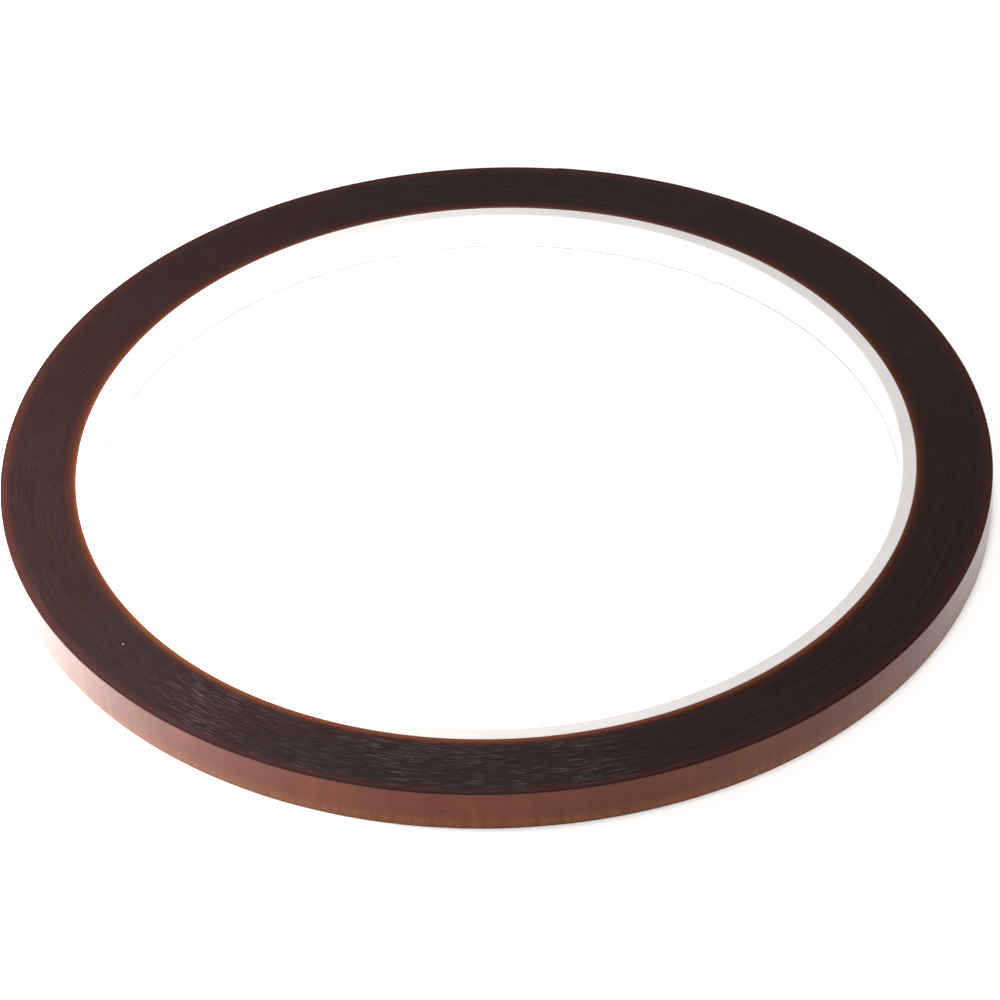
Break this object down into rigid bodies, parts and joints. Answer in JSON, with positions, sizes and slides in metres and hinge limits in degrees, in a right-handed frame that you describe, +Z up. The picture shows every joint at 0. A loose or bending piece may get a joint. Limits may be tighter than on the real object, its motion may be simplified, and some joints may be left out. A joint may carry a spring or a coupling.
{
  "type": "copper foil tape roll",
  "caption": "Flat roll of adhesive-backed copper foil tape on a thin ring core, with a loose outer end that lifts off and peels from its release liner.",
  "frame": {"origin": "centre of the roll's underside, on the axis of the core's hole", "axes": "+Z up along the roll's axis, through the core's hole; -Y towards the side seen nearest in the reference view; the strip is wound anticlockwise seen from +Z"},
  "size_m": [0.1311, 0.131, 0.0056],
  "materials": {
    "core_plastic": "satin",
    "copper_foil": "satin",
    "black_adhesive": "satin",
    "liner_paper": "matte",
    "wound_edge": "satin"
  },
  "bodies": {
    "roll": {"core_ring": "core_plastic", "start_turn_adhesive": "black_adhesive", "start_turn_foil": "copper_foil", "wound_turns": "wound_edge", "outer_turn_liner": "liner_paper", "outer_turn_adhesive": "black_adhesive", "outer_turn_foil": "copper_foil"},
    "tail_1": {"tail_1_liner": "liner_paper", "tail_1_adhesive": "black_adhesive", "tail_1_foil": "copper_foil"},
    "tail_2": {"tail_2_liner": "liner_paper", "tail_2_adhesive": "black_adhesive", "tail_2_foil": "copper_foil"},
    "tail_3": {"tail_3_liner": "liner_paper", "tail_3_adhesive": "black_adhesive", "tail_3_foil": "copper_foil"},
    "tail_4": {"tail_4_liner": "liner_paper", "tail_4_adhesive": "black_adhesive", "tail_4_foil": "copper_foil", "tail_5_liner": "liner_paper"},
    "foil_end": {"tail_5_adhesive": "black_adhesive", "tail_5_foil": "copper_foil"}
  },
  "joints": [
    {"name": "tail_lift", "type": "hinge", "parent": "roll", "child": "tail_1", "pos_m": [0.05306, 0.03855, 0.00278], "axis": [0, 0, -1], "range_deg": [0, 20]},
    {"name": "tail_bend_2", "type": "hinge", "parent": "tail_1", "child": "tail_2", "pos_m": [0.04638, 0.04638, 0.00278], "axis": [0, 0, -1], "range_deg": [0, 20]},
    {"name": "tail_bend_3", "type": "hinge", "parent": "tail_2", "child": "tail_3", "pos_m": [0.03855, 0.05307, 0.00278], "axis": [0, 0, -1], "range_deg": [0, 20]},
    {"name": "tail_bend_4", "type": "hinge", "parent": "tail_3", "child": "tail_4", "pos_m": [0.02978, 0.05845, 0.00278], "axis": [0, 0, -1], "range_deg": [0, 20]},
    {"name": "foil_peel", "type": "hinge", "parent": "tail_4", "child": "foil_end", "pos_m": [0.02027, 0.06239, 0.00278], "axis": [0, 0, -1], "range_deg": [0, 80]}
  ],
  "couplings": [
    {"joint": "tail_bend_2", "follows": "tail_lift", "ratio": 1},
    {"joint": "tail_bend_3", "follows": "tail_lift", "ratio": 1},
    {"joint": "tail_bend_4", "follows": "tail_lift", "ratio": 1}
  ]
}
